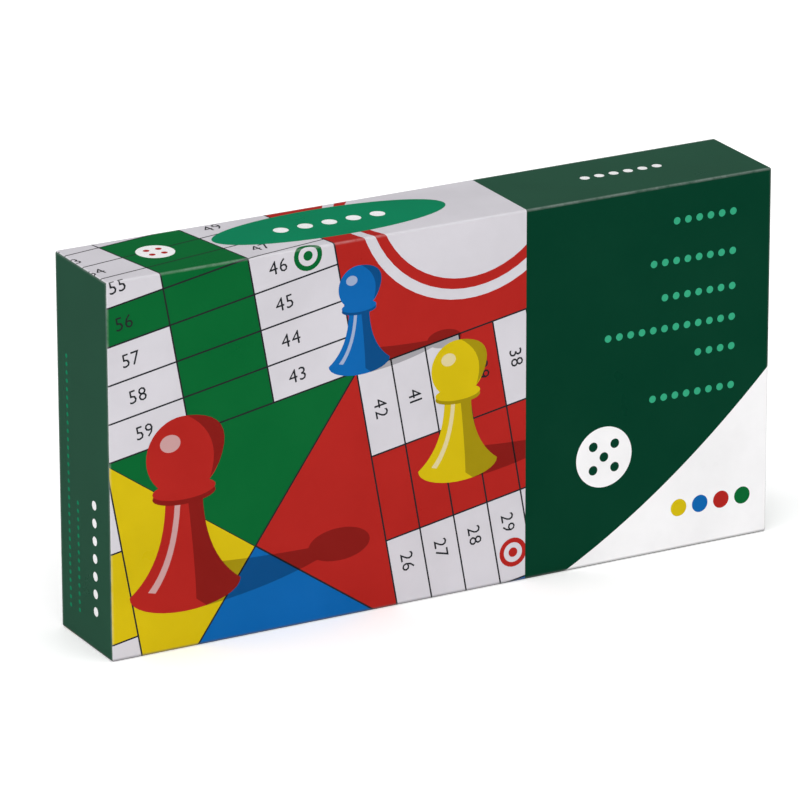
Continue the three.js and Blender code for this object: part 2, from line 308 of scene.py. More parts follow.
LINING = paper("box_lining", srgb(226, 222, 212), flecks=0.35)
LID_INKS = {name: box_ink("lid", name) for name in INK_COLOURS} | {"lining": LINING}
BASE_INKS = {name: box_ink("base_tray", name) for name in INK_COLOURS} | {"lining": LINING}
BOARD_INKS = {name: board_ink(name) for name in INK_COLOURS}
LEAFLET_INKS = {
    "paper": paper("leaflet_paper", srgb(236, 232, 222), flecks=0.3),
    "grey": paper("leaflet_grey", srgb(140, 142, 142), flecks=0.2),
}
FRAME_PLASTIC = plastic("frame_plastic", srgb(14, 74, 52), 0.42, scale=2400, depth=0.03)
DIE_PLASTIC = plastic("die_plastic", srgb(243, 240, 232), 0.2, scale=700, depth=0.01)
PIP_PAINT = plastic("pip_paint", srgb(18, 18, 20), 0.35, scale=900, depth=0.01)
DISC_PLASTICS = {
    name: plastic("disc_plastic_" + name, colour, 0.24, scale=800, depth=0.004)
    for name, colour in PLASTIC_COLOURS.items()
}
FOAM = foam("foam", srgb(52, 55, 58))
SHEET_STEEL = metal("sheet_steel", srgb(178, 182, 186), 0.38, stretch=(0.04, 1, 1))
PIN_STEEL = metal("pin_steel", srgb(190, 193, 196), 0.3, stretch=(0.05, 1, 1))
FERRITE = metal("ferrite", srgb(58, 58, 64), 0.6, stretch=(1, 1, 1))


# Flat shapes, as lists of points in millimetres

LARGE_SIDES, MIDDLE_SIDES, SMALL_SIDES, DOT_SIDES = 56, 40, 24, 20


def rectangle(x0, y0, x1, y1):
    return [(x0, y0), (x1, y0), (x1, y1), (x0, y1)]


def ellipse(x, y, radius_x, radius_y, count):
    turns = (2 * pi * i / count for i in range(count))
    return [(x + radius_x * cos(turn), y + radius_y * sin(turn)) for turn in turns]


def circle(x, y, radius, count=MIDDLE_SIDES):
    return ellipse(x, y, radius, radius, count)


def stroke(start, end, width):
    """A straight line with a width."""
    start, end = Vector(start), Vector(end)
    side = (end - start).orthogonal().normalized() * width / 2
    return [tuple(p) for p in (start - side, end - side, end + side, start + side)]


def bend(start, pull, end, steps=24):
    """Points of a quadratic curve."""
    start, pull, end = Vector(start), Vector(pull), Vector(end)
    shares = (i / steps for i in range(steps + 1))
    return [tuple((1 - t) ** 2 * start + 2 * t * (1 - t) * pull + t * t * end) for t in shares]


def arc(x, y, radius, first, last, steps):
    """Points of a part of a circle, from one direction to another, in degrees."""
    turns = (radians(first + (last - first) * i / steps) for i in range(steps + 1))
    return [(x + radius * cos(turn), y + radius * sin(turn)) for turn in turns]


def rounded_rectangle(low, high, radius, steps=6):
    """Points anticlockwise round a rectangle with round corners."""
    left, bottom, right, top = low[0] + radius, low[1] + radius, high[0] - radius, high[1] - radius
    corners = ((right, bottom, -90), (right, top, 0), (left, top, 90), (left, bottom, 180))
    return [p for x, y, first in corners for p in arc(x, y, radius, first, first + 90, steps)]


def sides(loop):
    """Each side of a closed loop, as two points."""
    return list(zip(loop, loop[1:] + loop[:1]))


def limits(loops):
    """The lowest and the highest corner of the box around loops."""
    points = np.array([p for loop in loops for p in loop])
    return points.min(axis=0), points.max(axis=0)


# Layers of a print: each is an ink and the loops that it fills, and later layers cover earlier ones

def placed(layers, scale=1, turn=0, shift=(0, 0)):
    """The same layers scaled, turned by degrees and moved."""
    c, s = scale * cos(radians(turn)), scale * sin(radians(turn))

    def place(loop):
        return [(c * x - s * y + shift[0], s * x + c * y + shift[1]) for x, y in loop]
    return [(ink, *map(place, loops)) for ink, *loops in layers]


def closed_loops(mesh):
    """The loops of a mesh of bare edges, in which the points of a loop follow one another."""
    joined = {tuple(sorted(edge.vertices)) for edge in mesh.edges}
    loops = []
    for i, vertex in enumerate(mesh.vertices):
        if (i - 1, i) not in joined:
            loops.append([])
        loops[-1].append(tuple(vertex.co.xy))
    return loops


DIGIT_BOLDNESS = 0.018
DIGIT_SPACE = 0.16
DIGIT_CURVE_STEPS = 2


def digit_shapes():
    """The outlines of each digit, one unit high and centred, with its width."""
    shapes = {}
    for digit in "0123456789":
        curve = bpy.data.curves.new("digit", "FONT")
        curve.body, curve.fill_mode = digit, "NONE"
        curve.offset, curve.resolution_u = DIGIT_BOLDNESS, DIGIT_CURVE_STEPS
        text = bpy.data.objects.new("digit", curve)
        loops = closed_loops(text.to_mesh())
        (x0, y0), (x1, y1) = (corner.tolist() for corner in limits(loops))
        centred = placed([("black", *loops)], shift=(-(x0 + x1) / 2, -(y0 + y1) / 2))
        height = y1 - y0
        shapes[digit] = (placed(centred, 1 / height), (x1 - x0) / height)
        text.to_mesh_clear()
        bpy.data.objects.remove(text)
        bpy.data.curves.remove(curve)
    return shapes


DIGITS = digit_shapes()


def number(value, x, y, height, turn):
    """Layers that print a number about a point, turned by degrees."""
    digits = [DIGITS[digit] for digit in str(value)]
    at = -(sum(width for _, width in digits) + DIGIT_SPACE * (len(digits) - 1)) / 2
    layers = []
    for shape, width in digits:
        layers += placed(shape, shift=(at + width / 2, 0))
        at += width + DIGIT_SPACE
    return placed(layers, height, turn, (x, y))


# The traditional board: four arms of three lanes and eight rows, with a yard to the left of each arm

BOARD_SIDE = 232
LANE = 24
ARM = 1.5 * LANE
REACH = BOARD_SIDE / 2
ROWS = 8
ROW = (REACH - ARM) / ROWS
START_ROW = 4
SQUARES_PER_ARM = 17
LINE = 0.45
YARD = REACH - ARM
YARD_RADII = (0.4 * YARD, 0.365 * YARD, 0.33 * YARD)
SAFE_RADII = (0.4 * ROW, 0.27 * ROW, 0.13 * ROW)
READ_FROM_ENDS, READ_FROM_CENTRE = 180, 0

# Numbers, and how far they and the safe marks are from the middle of an arm
NUMBER_HEIGHT = 3.6
NUMBER_ASIDE, SAFE_ASIDE = 0.82 * LANE, 1.18 * LANE
END_NUMBER_ASIDE, END_SAFE_ASIDE = 0.14 * LANE, 0.25 * LANE


def target(x, y, radii, inks, count):
    """Circles about a point, each over the one before."""
    return [(ink, circle(x, y, radius, count)) for ink, radius in zip(inks, radii)]


def safe_mark(ink, x, y):
    """A ringed spot on a square where a piece is safe."""
    return target(x, y, SAFE_RADII, (ink, "track", ink), SMALL_SIDES)


def arm_layers(k, ink, number_turn):
    """One arm, pointing to +Y, with its yard, its triangle of the centre and its numbers."""
    before = SQUARES_PER_ARM * ((k - 1) % 4)
    yard = (ARM + REACH) / 2
    start = REACH - START_ROW * ROW
    end_row = REACH - ROW / 2

    def square_number(value, x, y):
        return number(value, x, y, NUMBER_HEIGHT, number_turn)

    layers = [
        (ink, rectangle(-REACH, ARM, -ARM, REACH)),
        *target(-yard, yard, YARD_RADII, ("track", ink, "track"), LARGE_SIDES),
        (ink, [(0, 0), (ARM, ARM), (-ARM, ARM)]),
        (ink, rectangle(-LANE / 2, ARM, LANE / 2, REACH - ROW)),
        (ink, rectangle(-ARM, start - ROW, -LANE / 2, start)),
        *safe_mark(ink, SAFE_ASIDE, start - ROW / 2),
        *safe_mark(ink, END_SAFE_ASIDE, end_row),
    ]
    lines = [((-ARM, ARM + i * ROW), (ARM, ARM + i * ROW)) for i in range(ROWS + 1)]
    lines += [((x, ARM), (x, REACH)) for x in (-ARM, -LANE / 2, LANE / 2, ARM)]
    lines.append(((0, 0), (ARM, ARM)))
    layers += [("black", stroke(*line, LINE)) for line in lines]
    for i in range(ROWS):
        layers += square_number(SQUARES_PER_ARM * k + i + 1, -LANE, REACH - (i + 0.5) * ROW)
        layers += square_number(before + ROWS + i + 1, NUMBER_ASIDE, ARM + (i + 0.5) * ROW)
    layers += square_number(before + SQUARES_PER_ARM, -END_NUMBER_ASIDE, end_row)
    return layers


def board_layers(number_turn):
    """The whole board, centred."""
    layers = []
    for k, ink in enumerate(GAME_COLOURS):
        layers += placed(arm_layers(k, ink, number_turn), turn=90 * k)
    return layers


BOARD_LAYERS = board_layers(READ_FROM_ENDS)


# Flat panels of a mesh

# How near points are that count as one, or as lying on a line, in millimetres
MERGE = 1e-3
TOUCH = 2 * MERGE
SAME_PLACE = 0.01

# An ink that darkens the one under it
SHADOW = "shadow"


def overlap(loops, others):
    """Whether the boxes around two shapes overlap."""
    (low, high), (other_low, other_high) = limits(loops), limits(others)
    return (high > other_low).all() and (low < other_high).all()


def within(loops, spots):
    """Which rows of an array of points lie inside loops. A loop inside another is a hole."""
    low, high = limits(loops)
    near = np.flatnonzero(((spots > low) & (spots < high)).all(axis=1))
    x, y = spots[near].T
    odd = np.zeros(len(near), bool)
    for (x0, y0), (x1, y1) in (side for loop in loops for side in sides(loop)):
        if y0 != y1:
            crossed = (y0 > y) != (y1 > y)
            odd ^= crossed & (x < x0 + (y - y0) * (x1 - x0) / (y1 - y0))
    return near[odd]


class Panel:
    """A flat face with a print, in millimetres. Its front is where u turns into v anticlockwise."""

    def __init__(self, origin, u, v, outline, base, layers=(), guides=(), outside=True):
        self.origin, self.u, self.v = Vector(origin), u, v
        self.outline, self.guides, self.outside = outline, guides, outside
        self.layers = [(base, outline)]
        self.layers += [layer for layer in layers if overlap(layer[1:], [outline])]

    def to_space(self, point):
        return self.origin + self.u * point[0] + self.v * point[1]

    def on_border(self, point):
        """A point of space as one of the panel's plane, or None if it isn't on the panel's outline."""
        offset = point - self.origin
        if abs(offset.dot(self.u.cross(self.v))) > TOUCH:
            return None
        flat = Vector((offset.dot(self.u), offset.dot(self.v)))
        for a, b in sides(self.outline):
            start, along = Vector(a), Vector(b) - Vector(a)
            share = min(1, max(0, (flat - start).dot(along) / along.length_squared))
            if (start + along * share - flat).length < TOUCH:
                return flat
        return None

    def inks_at(self, spots):
        """The ink at each row of an array of points. It is None outside the outline and in holes."""
        inks = np.full(len(spots), None)
        for ink, *loops in self.layers:
            inside = within(loops, spots)
            if ink == SHADOW:
                inks[inside] = [name.removesuffix("_dark") + "_dark" for name in inks[inside]]
            else:
                inks[inside] = ink
        inks[np.setdiff1d(np.arange(len(spots)), within([self.outline], spots))] = None
        return inks

    def cut(self, extra=()):
        """The panel's points, and its triangles with their inks."""
        lines = [side for _, *loops in self.layers for loop in loops for side in sides(loop)]
        lines += self.guides
        points = [Vector(p) for line in lines for p in line] + list(extra)
        edges = [(2 * i, 2 * i + 1) for i in range(len(lines))]
        flat, _, triangles, *_ = delaunay_2d_cdt(points, edges, [], 0, MERGE)
        corners = np.array([tuple(p) for p in flat])
        inks = self.inks_at(corners[np.array(triangles)].mean(axis=1))
        kept = [(t, ink) for t, ink in zip(triangles, inks) if ink is not None]
        used = sorted({i for t, _ in kept for i in t})
        places = {old: new for new, old in enumerate(used)}
        return [flat[i] for i in used], [([places[i] for i in t], ink) for t, ink in kept]


def join_panels(panels):
    """Points of one mesh, and its triangles, each with its ink and whether it is outside.

    Panels that meet share the points on their borders.
    """
    borders = []
    for panel in panels:
        flat, _ = panel.cut()
        borders += [spot for spot in map(panel.to_space, flat) if panel.on_border(spot) is not None]
    found, points, triangles = {}, [], []
    for panel in panels:
        shared = [flat for flat in map(panel.on_border, borders) if flat is not None]
        flat, cut = panel.cut(shared)
        indices = []
        for p in flat:
            spot = panel.to_space(p)
            key = tuple(round(c / SAME_PLACE) for c in spot)
            if key not in found:
                found[key] = len(points)
                points.append(spot)
            indices.append(found[key])
        for triangle, ink in cut:
            corners = [indices[i] for i in triangle]
            if len(set(corners)) == 3:
                triangles.append((corners, ink, panel.outside))
    return points, triangles


# Objects

WELD_DISTANCE = 0.002
SHARP_ANGLE = 35


def link_object(name, data):
    """A new object in the scene."""
    obj = bpy.data.objects.new(name, data)
    bpy.context.scene.collection.objects.link(obj)
    return obj


def make_object(name, points, faces, materials, slots=None):
    """An object from points in millimetres. slots gives each face's material."""
    mesh = bpy.data.meshes.new(name)
    mesh.from_pydata([Vector(p) * MM for p in points], [], faces)
    for material in materials:
        mesh.materials.append(material)
    if slots:
        mesh.polygons.foreach_set("material_index", slots)
    mesh.update()
    return link_object(name, mesh)


def make_printed(name, points, faces, inks):
    """An object from faces that are each given as corners and an ink's name."""
    names = sorted({ink for _, ink, *_ in faces})
    materials = [inks[ink] for ink in names]
    slots = [names.index(ink) for _, ink, *_ in faces]
    return make_object(name, points, [corners for corners, *_ in faces], materials, slots)


def from_bmesh(name, shape):
    """An object with the shape of a bmesh, which is freed."""
    mesh = bpy.data.meshes.new(name)
    shape.to_mesh(mesh)
    shape.free()
    return link_object(name, mesh)


def smooth(mesh):
    """Smooth shading, apart from sharp edges."""
    mesh.shade_smooth()
    mesh.set_sharp_from_angle(angle=radians(SHARP_ANGLE))


def weld(obj):
    """Joins points that lie on each other, turns every face outward and shades the mesh smooth."""
    mesh = bmesh.new()
    mesh.from_mesh(obj.data)
    bmesh.ops.remove_doubles(mesh, verts=mesh.verts, dist=WELD_DISTANCE * MM)
    bmesh.ops.recalc_face_normals(mesh, faces=mesh.faces)
    mesh.to_mesh(obj.data)
    mesh.free()
    smooth(obj.data)


def finish_piece(obj, body, node):
    """Rides the piece on its body, and hides the CAD node that it stands for."""
    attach(obj, body)
    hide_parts(node)


# Wrapped boxes: the lid and the base

FOLD_STEPS = 3


def fold_guides(face, low, high):
    """Lines beside the folded sides of an outer face, where a fold's curve is cut into steps.

    The side that lies at the rim isn't folded, and has the face's own name.
    """
    (x0, y0), (x1, y1) = low, high
    lines = []
    for i in range(FOLD_STEPS):
        d = FOLD_RADIUS * (1 - tan(radians(45 * i / FOLD_STEPS)))
        beside = {
            "left": ((x0 + d, y0), (x0 + d, y1)),
            "right": ((x1 - d, y0), (x1 - d, y1)),
            "bottom": ((x0, y0 + d), (x1, y0 + d)),
            "top": ((x0, y1 - d), (x1, y1 - d)),
        }
        lines += [line for side, line in beside.items() if side != face]
    return lines


def box_panels(low, high, board, prints, wrap):
    """Panels of a box that opens to +Y. prints gives each outer face its ink and its layers.

    The wrapping paper covers the rim and turns in over it, and a lining covers the rest of the inside.
    """
    half, front, back, bottom, top = high.x, low.y, high.y, low.z, high.z
    in_half, in_front, in_bottom, in_top = half - board, front + board, bottom + board, top - board

    def outer(face, origin, u, v, a, b):
        return Panel(origin, u, v, rectangle(*a, *b), *prints[face], fold_guides(face, a, b))

    def inner(origin, u, v, outline, layers=()):
        return Panel(origin, u, v, outline, "lining", layers, outside=False)

    def depth(way):
        """The span of the inside and of the paper that turns in, along Y times way."""
        return sorted((way * in_front, way * back)), sorted((way * back, way * (back - TURN_IN)))

    def inner_across(z, way):
        room, strip = (rectangle(-in_half, y0, in_half, y1) for y0, y1 in depth(way))
        return inner((0, 0, z), X, Y * way, room, [(wrap, strip)])

    def inner_end(x, way):
        room, strip = (rectangle(y0, in_bottom, y1, in_top) for y0, y1 in depth(way))
        return inner((x, 0, 0), Y * way, Z, room, [(wrap, strip)])

    opening = rectangle(-in_half, in_bottom, in_half, in_top)
    rim = rectangle(-half, bottom, half, top)
    return [
        outer("front", (0, front, 0), X, Z, (-half, bottom), (half, top)),
        outer("top", (0, 0, top), X, Y, (-half, front), (half, back)),
        outer("bottom", (0, 0, bottom), X, -Y, (-half, -back), (half, -front)),
        outer("left", (-half, 0, 0), -Y, Z, (-back, bottom), (-front, top)),
        outer("right", (half, 0, 0), Y, Z, (front, bottom), (back, top)),
        Panel((0, back, 0), -X, Z, rim, wrap, [(None, opening)], outside=False),
        inner((0, in_front, 0), -X, Z, opening),
        inner_across(in_top, -1),
        inner_across(in_bottom, 1),
        inner_end(-in_half, 1),
        inner_end(in_half, -1),
    ]


def fold(point, low, high):
    """A point of a sharp box moved onto its round folds, and the way that the surface faces there."""
    r = FOLD_RADIUS
    core = Vector((
        max(low.x + r, min(high.x - r, point.x)),
        max(low.y + r, point.y),
        max(low.z + r, min(high.z - r, point.z)),
    ))
    out = point - core
    if out.length < TOUCH:
        return point, None
    return core + out.normalized() * r, out.normalized()


def make_box(name, low, high, board, prints, wrap, inks):
    """A wrapped box that opens to +Y, with round folds."""
    points, triangles = join_panels(box_panels(low, high, board, prints, wrap))
    folded = [fold(p, low, high) for p in points]
    box = make_printed(name, [p for p, _ in folded], triangles, inks)
    box.data.shade_smooth()
    normals = []
    for polygon, (corners, _, outside) in zip(box.data.polygons, triangles):
        normals += [folded[i][1] if outside else polygon.normal for i in corners]
    box.data.normals_split_custom_set(normals)
    return box


# Print of the lid, in millimetres from the middle of its lower edges

PRINT_EDGE = 30
DESIGN_SCALE = 1.3
DESIGN_TURN = 100
DESIGN_CENTRE = (-72, 31)
PAWNS = (("blue", -33, 84, 38), ("yellow", 4, 40, 50), ("red", -98, 13, 68))
CORNER_CURVE = ((45, 0), (86, 21), (125, 60.5))
OVAL = (-33, 2, 43, 14)
# The plain panel of the top and the bottom, in the deep green painted lighter as painted light and
# sheen
PLAIN_PANEL = ("side_green", rectangle(PRINT_EDGE, LID_LOW.y, LID_HIGH.x, LID_HIGH.y))

# Badges: the middle, the radius, and the pitch and radius of the pips
BADGE = ((60.4, 38.6), 10.8, 4.2, 1.7)
TOP_BADGE = ((-97, 2), 6.5, 2.2, 1.1)

# Rows of dots: where each ends, how many there are, their pitch and their radius
OVAL_DOTS = ((-15, 2), 5, 9, 2.6)
TOP_DOTS = ((92, 2), 6, 5.6, 1.7)
END_DOTS = (
    ("emerald", (-11.8, 97), 31, 2.9, 0.75),
    ("emerald", (-5.2, 48), 14, 2.9, 0.75),
    ("white", (7, 51), 7, 6.2, 1.6),
)

# Rows of dots in place of text: the height of each and how many there are
DOT_ROW_END = 110
DOT_PITCH, DOT_RADIUS = 4.4, 1.3
DOT_ROWS = ((118, 6), (104, 8), (91.5, 7), (80.5, 12), (70, 4), (56, 8))
BACK_DOT_ROWS = ((112, 22), (102, 18), (92, 20), (82, 13), (66, 21), (56, 17), (46, 9))

SPOT_ROW_END = (115.2, 15)
SPOT_PITCH = 8.4
SPOT_RADIUS = 3.1
SPOT_CARD = ((84, 9), (121, 21), 6)
BACK_SPOT_SHIFT = -3
BACK_PICTURE = (-62, 65.5)
BACK_PICTURE_SIDE = 96
BACK_CARD = 102
BACK_CARD_CORNER = 4

# Where the pips of each value lie on a face, in pitches
CORNERS = ((-1, -1), (1, 1), (-1, 1), (1, -1))
PIPS = {
    1: ((0, 0),),
    2: CORNERS[:2],
    3: ((0, 0), *CORNERS[:2]),
    4: CORNERS,
    5: ((0, 0), *CORNERS),
    6: (*CORNERS, (-1, 0), (1, 0)),
}
PAWN_SIDES = 32


def pawn(ink, x, y, height):
    """A pawn drawn flat in three tones, standing at a point. Its own height is 1."""
    dark, light = ink + "_dark", ink + "_light"
    foot = ellipse(0, 0.12, 0.3, 0.12, PAWN_SIDES)[PAWN_SIDES // 2 + 1:]
    foot_right = foot[PAWN_SIDES // 4 + 1:]
    left_side = bend((-0.1, 0.58), (-0.11, 0.26), (-0.3, 0.12), 12)
    right_side = bend((0.3, 0.12), (0.11, 0.26), (0.1, 0.58), 12)
    shadow_edge = bend((0.02, 0.58), (0.06, 0.2), (0.06, 0), 8)[:-1]
    shine = bend((-0.05, 0.56), (-0.07, 0.27), (-0.2, 0.13), 8)
    shine += bend((-0.16, 0.12), (-0.04, 0.27), (-0.02, 0.56), 8)
    head_shadow = bend((0.02, 1), (0.3, 0.98), (0.19, 0.73), 10)
    head_shadow += bend((0.14, 0.66), (0.22, 0.88), (0.02, 1), 10)[:-1]
    cast_shadow = bend((0, 0), (0.4, 0.02), (0.72, 0.13), 10)
    cast_shadow += bend((0.72, 0.2), (0.4, 0.2), (0.1, 0.23), 10)
    layers = [
        (SHADOW, cast_shadow),
        (SHADOW, ellipse(0.84, 0.19, 0.17, 0.085, PAWN_SIDES)),
        (ink, left_side + foot + right_side),
        (dark, right_side + shadow_edge + foot_right),
        (light, shine),
        (dark, ellipse(0, 0.6, 0.17, 0.05, PAWN_SIDES)),
        (ink, ellipse(0, 0.625, 0.17, 0.05, PAWN_SIDES)),
        (ink, circle(0, 0.8, 0.2)),
        (dark, head_shadow),
        (light, ellipse(-0.07, 0.87, 0.055, 0.045, SMALL_SIDES)),
    ]
    return placed(layers, height, shift=(x, y))


def design_layers():
    """The left part of the print: the board pattern, turned and enlarged, with pawns on it."""
    layers = placed(board_layers(READ_FROM_CENTRE), DESIGN_SCALE, DESIGN_TURN, DESIGN_CENTRE)
    for ink, x, y, height in PAWNS:
        layers += pawn(ink, x, y, height)
    return layers


def dots(ink, end, count, pitch, radius, along=(1, 0)):
    """A row of dots that ends at a point."""
    (x, y), (u, v) = end, along
    steps = (i * pitch for i in range(count))
    return [(ink, circle(x - step * u, y - step * v, radius, DOT_SIDES)) for step in steps]


def dot_rows(rows):
    layers = []
    for z, count in rows:
        layers += dots("mint", (DOT_ROW_END, z), count, DOT_PITCH, DOT_RADIUS)
    return layers


def badge(ink, value, size, count):
    """A white badge with the pips of a value."""
    (x, y), radius, pitch, pip = size
    layers = [("white", circle(x, y, radius, count))]
    for u, v in PIPS[value]:
        layers.append((ink, circle(x + pitch * u, y + pitch * v, pip, SMALL_SIDES)))
    return layers


def spots():
    """A spot in each of the game's colours."""
    x, y = SPOT_ROW_END
    inks = reversed(GAME_COLOURS)
    return [(ink, circle(x - i * SPOT_PITCH, y, SPOT_RADIUS)) for i, ink in enumerate(inks)]


def front_layers():
    right, top = LID_HIGH.x, LID_HIGH.z
    layers = design_layers()
    layers.append(("deep_green", rectangle(PRINT_EDGE, 0, right, top)))
    layers.append(("white", bend(*CORNER_CURVE) + [(right, 0)]))
    return layers + badge("deep_green", 5, BADGE, LARGE_SIDES) + dot_rows(DOT_ROWS) + spots()


def back_layers():
    """A small picture of the whole board on a white card, with rows of dots and spots beside it."""
    x, z = BACK_PICTURE
    half = BACK_CARD / 2
    low, high = (x - half, z - half), (x + half, z + half)
    layers = [("white", rounded_rectangle(low, high, BACK_CARD_CORNER))]
    layers += placed(BOARD_LAYERS, BACK_PICTURE_SIDE / BOARD_SIDE, shift=BACK_PICTURE)
    spot_card = [("white", rounded_rectangle(*SPOT_CARD)), *spots()]
    return layers + dot_rows(BACK_DOT_ROWS) + placed(spot_card, shift=(BACK_SPOT_SHIFT, 0))


def top_layers():
    """The design goes on over the fold, under an oval, a badge and the plain panel with its dots."""
    layers = placed(design_layers(), shift=(0, LID_LOW.y - LID_HIGH.z))
    layers.append(("emerald", ellipse(*OVAL, LARGE_SIDES)))
    layers += dots("white", *OVAL_DOTS) + badge("red", 4, TOP_BADGE, MIDDLE_SIDES)
    return [*layers, PLAIN_PANEL, *dots("white", *TOP_DOTS)]


def bottom_layers():
    return [*placed(design_layers(), shift=(0, -LID_LOW.y)), PLAIN_PANEL]


def end_layers():
    """Columns of dots down an end of the lid."""
    return [dot for column in END_DOTS for dot in dots(*column, along=(0, 1))]


def make_lid():
    # The lid's ends, its wrap and its plain panels take the deep green painted lighter as painted
    # light and sheen
    prints = {
        "front": ("track", front_layers()),
        "top": ("track", top_layers()),
        "bottom": ("track", bottom_layers()),
        "left": ("side_green", end_layers()),
        "right": ("side_green", end_layers()),
    }
    lid = make_box("printed_lid", LID_LOW, LID_HIGH, LID_BOARD, prints, "side_green", LID_INKS)
    finish_piece(lid, "lid", "lid")


def make_base():
    """The base opens to -Y, so it is made half a turn round from its place."""
    low, high = box_mm("base_tray")
    turned = Vector((-high.x, -high.y, low.z)), Vector((-low.x, -low.y, high.z))
    prints = {side: ("deep_green", ()) for side in ("top", "bottom", "left", "right")}
    prints["front"] = ("deep_green", back_layers())
    base = make_box("wrapped_base", *turned, BASE_BOARD, prints, "deep_green", BASE_INKS)
    base.data.transform(Matrix.Rotation(pi, 4, "Z"))
    finish_piece(base, "base", "base_tray")


# Playing surface

SHEET_CORNER = 3.85
SHEET_CORNER_STEPS = 8


def make_plate(name, panel, thickness, inks, back_ink):
    """A closed plate with a printed face."""
    flat, faces = panel.cut()
    down = panel.u.cross(panel.v) * -thickness
    count = len(flat)
    points = [panel.to_space(p) for p in flat]
    points += [p + down for p in points]
    edges = {edge for corners, _ in faces for edge in sides(corners)}
    walls = [([b, a, a + count, b + count], back_ink) for a, b in edges if (b, a) not in edges]
    back = [([i + count for i in reversed(corners)], back_ink) for corners, _ in faces]
    return make_printed(name, points, faces + back + sorted(walls), inks)


def half_outline(half_length, near, far):
    """The outline of a board half, from its seam at near to its round corners at far."""
    x, y = half_length - SHEET_CORNER, far - SHEET_CORNER
    points = [(-half_length, near), (half_length, near)]
    points += arc(x, y, SHEET_CORNER, 0, 90, SHEET_CORNER_STEPS)
    return points + arc(-x, y, SHEET_CORNER, 90, 180, SHEET_CORNER_STEPS)


def make_play_sheet(side):
    """A half of the playing surface. The seam of the opened board is at the hinge axis."""
    low, high = box_mm("play_sheet_" + side)
    hinge = next(j for j in frame["joints"] if j["name"] == "board_unfold")
    seam = hinge["pos_m"][2] / MM
    face, way = (high.y, 1) if side == "back" else (low.y, -1)
    outline = [(x, way * y) for x, y in half_outline(high.x, seam - high.z, seam - low.z)]
    panel = Panel((0, face, seam), X, Z * -way, outline, "track", BOARD_LAYERS)
    sheet = make_plate("printed_play_sheet_" + side, panel, high.y - low.y, BOARD_INKS, "white")
    finish_piece(sheet, "board_" + side, "play_sheet_" + side)


# Foam tray

class Rings:
    """A mesh grown from rings of points, each in a plane across Y, in millimetres."""

    def __init__(self):
        self.points, self.faces = [], []

    def ring(self, outline, y):
        first = len(self.points)
        self.points += [Vector((x, y, z)) for x, z in outline]
        return list(range(first, len(self.points)))

    def wall(self, outlines):
        """Rings joined one after another. Gives the first and the last."""
        made = [self.ring(outline, y) for outline, y in outlines]
        for one, two in zip(made, made[1:]):
            self.faces += [[a, b, d, c] for (a, b), (c, d) in zip(sides(one), sides(two))]
        return made[0], made[-1]


TRAY_CORNER = 2
RECESS_CORNER = 3
DIE_WELL_CORNER = 1.2
LIP_STEPS = 4

# A round lip: how far out and how far down it goes, as shares of the fillet
LIP = arc(1, 1, 1, 270, 180, LIP_STEPS)


def sunk(outline_at, face, depth):
    """Rings of a well with a round lip. outline_at gives its outline, grown by an amount."""
    lip = [(outline_at(TRAY_FILLET * out), face + TRAY_FILLET * down) for out, down in LIP]
    return lip + [(outline_at(0), face + depth)]


def disc_well(name):
    """The outline of a disc's well, which a given amount makes larger."""
    low, high = box_mm("disc_" + name)
    middle, radius = (low + high) / 2, (high.z - low.z) / 2 + WELL_GAP

    def outline(grow):
        return circle(middle.x, middle.z, radius + grow)
    return outline


def square_well(node, gap, corner):
    """The outline of a node seen along Y, with a gap round it and round corners."""
    low, high = box_mm(node)

    def outline(grow):
        room, radius = gap + grow, corner + max(0, grow)
        return rounded_rectangle((low.x - room, low.z - room), (high.x + room, high.z + room), radius)
    return outline


def make_tray():
    """The foam tray: a rim, a sunken deck, and a well for each piece."""
    low, high = box_mm("piece_tray")
    deck = low.y + DECK_RECESS
    block = square_well("piece_tray", 0, TRAY_CORNER)
    recess = square_well("piece_tray", -TRAY_RIM, RECESS_CORNER)
    wells = [(disc_well(name), DISC_WELL_DEPTH) for name in DISCS]
    for side in DICE:
        wells.append((square_well("die_" + side, WELL_GAP, DIE_WELL_CORNER), DIE_WELL_DEPTH))

    grown = Rings()
    edge = [(block(-TRAY_FILLET * out), low.y + TRAY_FILLET * down) for out, down in reversed(LIP)]
    back, _ = grown.wall([(block(0), high.y), *edge, *sunk(recess, low.y, DECK_RECESS)])
    grown.faces.append(back)
    for outline_at, depth in wells:
        _, floor = grown.wall(sunk(outline_at, deck, depth))
        grown.faces.append(floor)
    holes = [(None, outline_at(TRAY_FILLET)) for outline_at, _ in wells]
    flat, faces = Panel((0, deck, 0), X, Z, recess(0), "foam", holes).cut()
    surface = grown.ring(flat, deck)
    grown.faces += [[surface[i] for i in corners] for corners, _ in faces]

    tray = make_object("foam_tray", grown.points, grown.faces, [FOAM])
    weld(tray)
    finish_piece(tray, "base", "piece_tray")


# Discs

DISC_EDGE_STEPS = 5
RECESS_EDGE = 0.25
FACE_RING = 0.72
FACE_DISH = 0.35
DISH_SECTION = ((1, 0), (0, 1 / 3), (-1, 1))


def disc_profile(radius, height):
    """Half of a disc's section, from the magnet's recess to its sunken face, as radius and height."""
    recess, core, ring = MAGNET_RECESS_RADIUS, radius - DISC_EDGE, FACE_RING * radius
    points = [(recess, MAGNET_RECESS_DEPTH), (recess, RECESS_EDGE), (recess + RECESS_EDGE, 0)]
    points += arc(core, DISC_EDGE, DISC_EDGE, -90, 0, DISC_EDGE_STEPS)
    points += arc(core, height - DISC_EDGE, DISC_EDGE, 0, 90, DISC_EDGE_STEPS)
    return points + [(ring + FACE_DISH * out, height - FACE_DISH * down) for out, down in DISH_SECTION]


